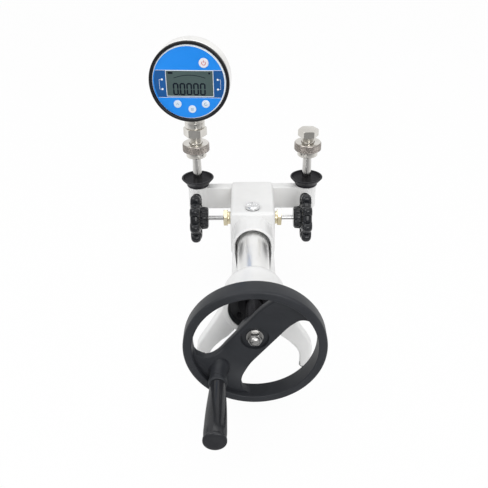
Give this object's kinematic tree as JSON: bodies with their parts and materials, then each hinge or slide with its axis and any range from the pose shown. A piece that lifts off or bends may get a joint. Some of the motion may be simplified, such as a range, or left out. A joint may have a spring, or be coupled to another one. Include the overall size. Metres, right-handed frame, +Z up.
{
  "type": "hand-operated pressure comparison pump",
  "caption": "Bench hand pump: a spoked handwheel with a revolving handle drives a piston in a barrel; valves and outlet posts share one casting, a digital gauge reads pressure.",
  "frame": {"origin": "on the table under the middle of the rear arm, on the underside of the rear rubber foot", "axes": "+X to the operator's right, +Y away from the operator along the barrel, +Z up"},
  "size_m": [0.2238, 0.4166, 0.3118],
  "materials": {
    "white_paint": "smooth white powder coat with a soft sheen",
    "chrome": "polished hard chrome",
    "steel": "turned nickel-plated steel",
    "case_steel": "satin stainless steel",
    "dark_steel": "blackened steel",
    "black_rubber": "matt black rubber",
    "brass": "turned brass",
    "bronze": "turned bronze",
    "white_packing": "white PTFE",
    "satin_black": "charcoal black with a satin sheen",
    "gloss_black": "glossy black moulded plastic",
    "blue_face": "bright blue printed overlay",
    "clear_window": "clear window",
    "lcd_grey": "grey-green liquid crystal panel",
    "green_board": "circuit board",
    "battery_green": "battery pack sleeve",
    "key_white": "white key cap with a red mark",
    "key_pale": "pale key cap"
  },
  "bodies": {
    "body": {"body_casting": "white_paint", "front_support": "white_paint", "barrel_tube": "chrome", "barrel_seal": "black_rubber", "foot_pad_fl": "black_rubber", "foot_pad_fr": "black_rubber", "foot_pad_rear": "black_rubber", "post_l": "steel", "post_r": "steel", "drip_cup_l": "black_rubber", "drip_cup_r": "black_rubber", "post_seal_l": "black_rubber", "post_seal_r": "black_rubber", "filler_seal": "black_rubber", "gland_l": "brass", "gland_r": "brass", "packing_l": "white_packing", "packing_r": "white_packing", "drive_nut": "bronze", "support_screw_l": "dark_steel", "support_screw_r": "dark_steel"},
    "swivel_l": {"swivel_nut_l": "steel", "post_ring_l": "steel"},
    "swivel_r": {"swivel_nut_r": "steel", "post_ring_r": "steel"},
    "gauge": {"gauge_stem": "steel", "gauge_case": "case_steel", "gauge_back": "satin_black", "gauge_bezel": "gloss_black", "gauge_face": "blue_face", "gauge_window": "clear_window", "gauge_lcd": "lcd_grey", "gauge_board": "green_board", "pressure_sensor": "steel", "battery_pack": "battery_green"},
    "key_power": {"power_key": "key_white"},
    "key_a": {"menu_key_a": "key_pale"},
    "key_b": {"menu_key_b": "key_pale"},
    "key_c": {"menu_key_c": "key_pale"},
    "plug": {"hex_plug": "steel"},
    "filler": {"filler_plug": "chrome"},
    "needle_left": {"needle_l": "steel"},
    "valve_left": {"valve_stem_l": "steel", "valve_wheel_l": "gloss_black"},
    "needle_right": {"needle_r": "steel"},
    "valve_right": {"valve_stem_r": "steel", "valve_wheel_r": "gloss_black"},
    "piston_group": {"piston": "bronze", "piston_seal": "black_rubber", "thrust_bearing": "steel"},
    "wheel_group": {"leadscrew": "steel", "handwheel": "satin_black", "wheel_washer": "steel", "cap_nut": "steel", "handle_pin": "steel"},
    "handle": {"handle_sleeve": "gloss_black", "handle_cap": "gloss_black"}
  },
  "joints": [
    {"name": "piston_travel", "type": "slide", "parent": "body", "child": "piston_group", "axis": [0, 1, 0], "range_m": [-0.0156, 0.0336]},
    {"name": "wheel_spin", "type": "hinge", "parent": "piston_group", "child": "wheel_group", "pos_m": [0, -0.3, 0.0835], "axis": [0, 1, 0], "range_deg": [-2790, 6030]},
    {"name": "handle_spin", "type": "hinge", "parent": "wheel_group", "child": "handle", "pos_m": [-0.03716, -0.35, 0.05004], "axis": [0, 1, 0], "continuous": true},
    {"name": "needle_left_travel", "type": "slide", "parent": "body", "child": "needle_left", "axis": [-1, 0, 0], "range_m": [-0.0066, 0.001]},
    {"name": "valve_left_spin", "type": "hinge", "parent": "needle_left", "child": "valve_left", "pos_m": [-0.0645, -0.049, 0.0845], "axis": [-1, 0, 0], "range_deg": [-2370, 350]},
    {"name": "needle_right_travel", "type": "slide", "parent": "body", "child": "needle_right", "axis": [1, 0, 0], "range_m": [-0.0024, 0.0028]},
    {"name": "valve_right_spin", "type": "hinge", "parent": "needle_right", "child": "valve_right", "pos_m": [0.0645, -0.049, 0.0845], "axis": [1, 0, 0], "range_deg": [-860, 1000]},
    {"name": "nut_left_spin", "type": "hinge", "parent": "body", "child": "swivel_l", "pos_m": [-0.075, -0.0005, 0.165], "axis": [0, 0, 1], "continuous": true},
    {"name": "nut_right_spin", "type": "hinge", "parent": "body", "child": "swivel_r", "pos_m": [0.075, -0.0005, 0.165], "axis": [0, 0, 1], "continuous": true},
    {"name": "gauge_swivel", "type": "hinge", "parent": "body", "child": "gauge", "pos_m": [-0.075, -0.0005, 0.2], "axis": [0, 0, 1], "range_deg": [-170, 170]},
    {"name": "plug_turn", "type": "hinge", "parent": "body", "child": "plug", "pos_m": [0.075, -0.0005, 0.18], "axis": [0, 0, 1], "continuous": true},
    {"name": "filler_turn", "type": "hinge", "parent": "body", "child": "filler", "pos_m": [0, -0.073, 0.112], "axis": [0, 0, 1], "continuous": true},
    {"name": "power_press", "type": "slide", "parent": "gauge", "child": "key_power", "axis": [0.0698, 0.9976, 0], "range_m": [0, 0.0005], "stiffness_N_per_m": 600, "springref_m": -0.0005},
    {"name": "key_a_press", "type": "slide", "parent": "gauge", "child": "key_a", "axis": [0.0698, 0.9976, 0], "range_m": [0, 0.0005], "stiffness_N_per_m": 600, "springref_m": -0.0005},
    {"name": "key_b_press", "type": "slide", "parent": "gauge", "child": "key_b", "axis": [0.0698, 0.9976, 0], "range_m": [0, 0.0005], "stiffness_N_per_m": 600, "springref_m": -0.0005},
    {"name": "key_c_press", "type": "slide", "parent": "gauge", "child": "key_c", "axis": [0.0698, 0.9976, 0], "range_m": [0, 0.0005], "stiffness_N_per_m": 600, "springref_m": -0.0005}
  ],
  "couplings": [
    {"joint": "piston_travel", "follows": "wheel_spin", "m_per_rad": 0.00031831},
    {"joint": "needle_left_travel", "follows": "valve_left_spin", "m_per_rad": 0.00015915},
    {"joint": "needle_right_travel", "follows": "valve_right_spin", "m_per_rad": 0.00015915}
  ]
}
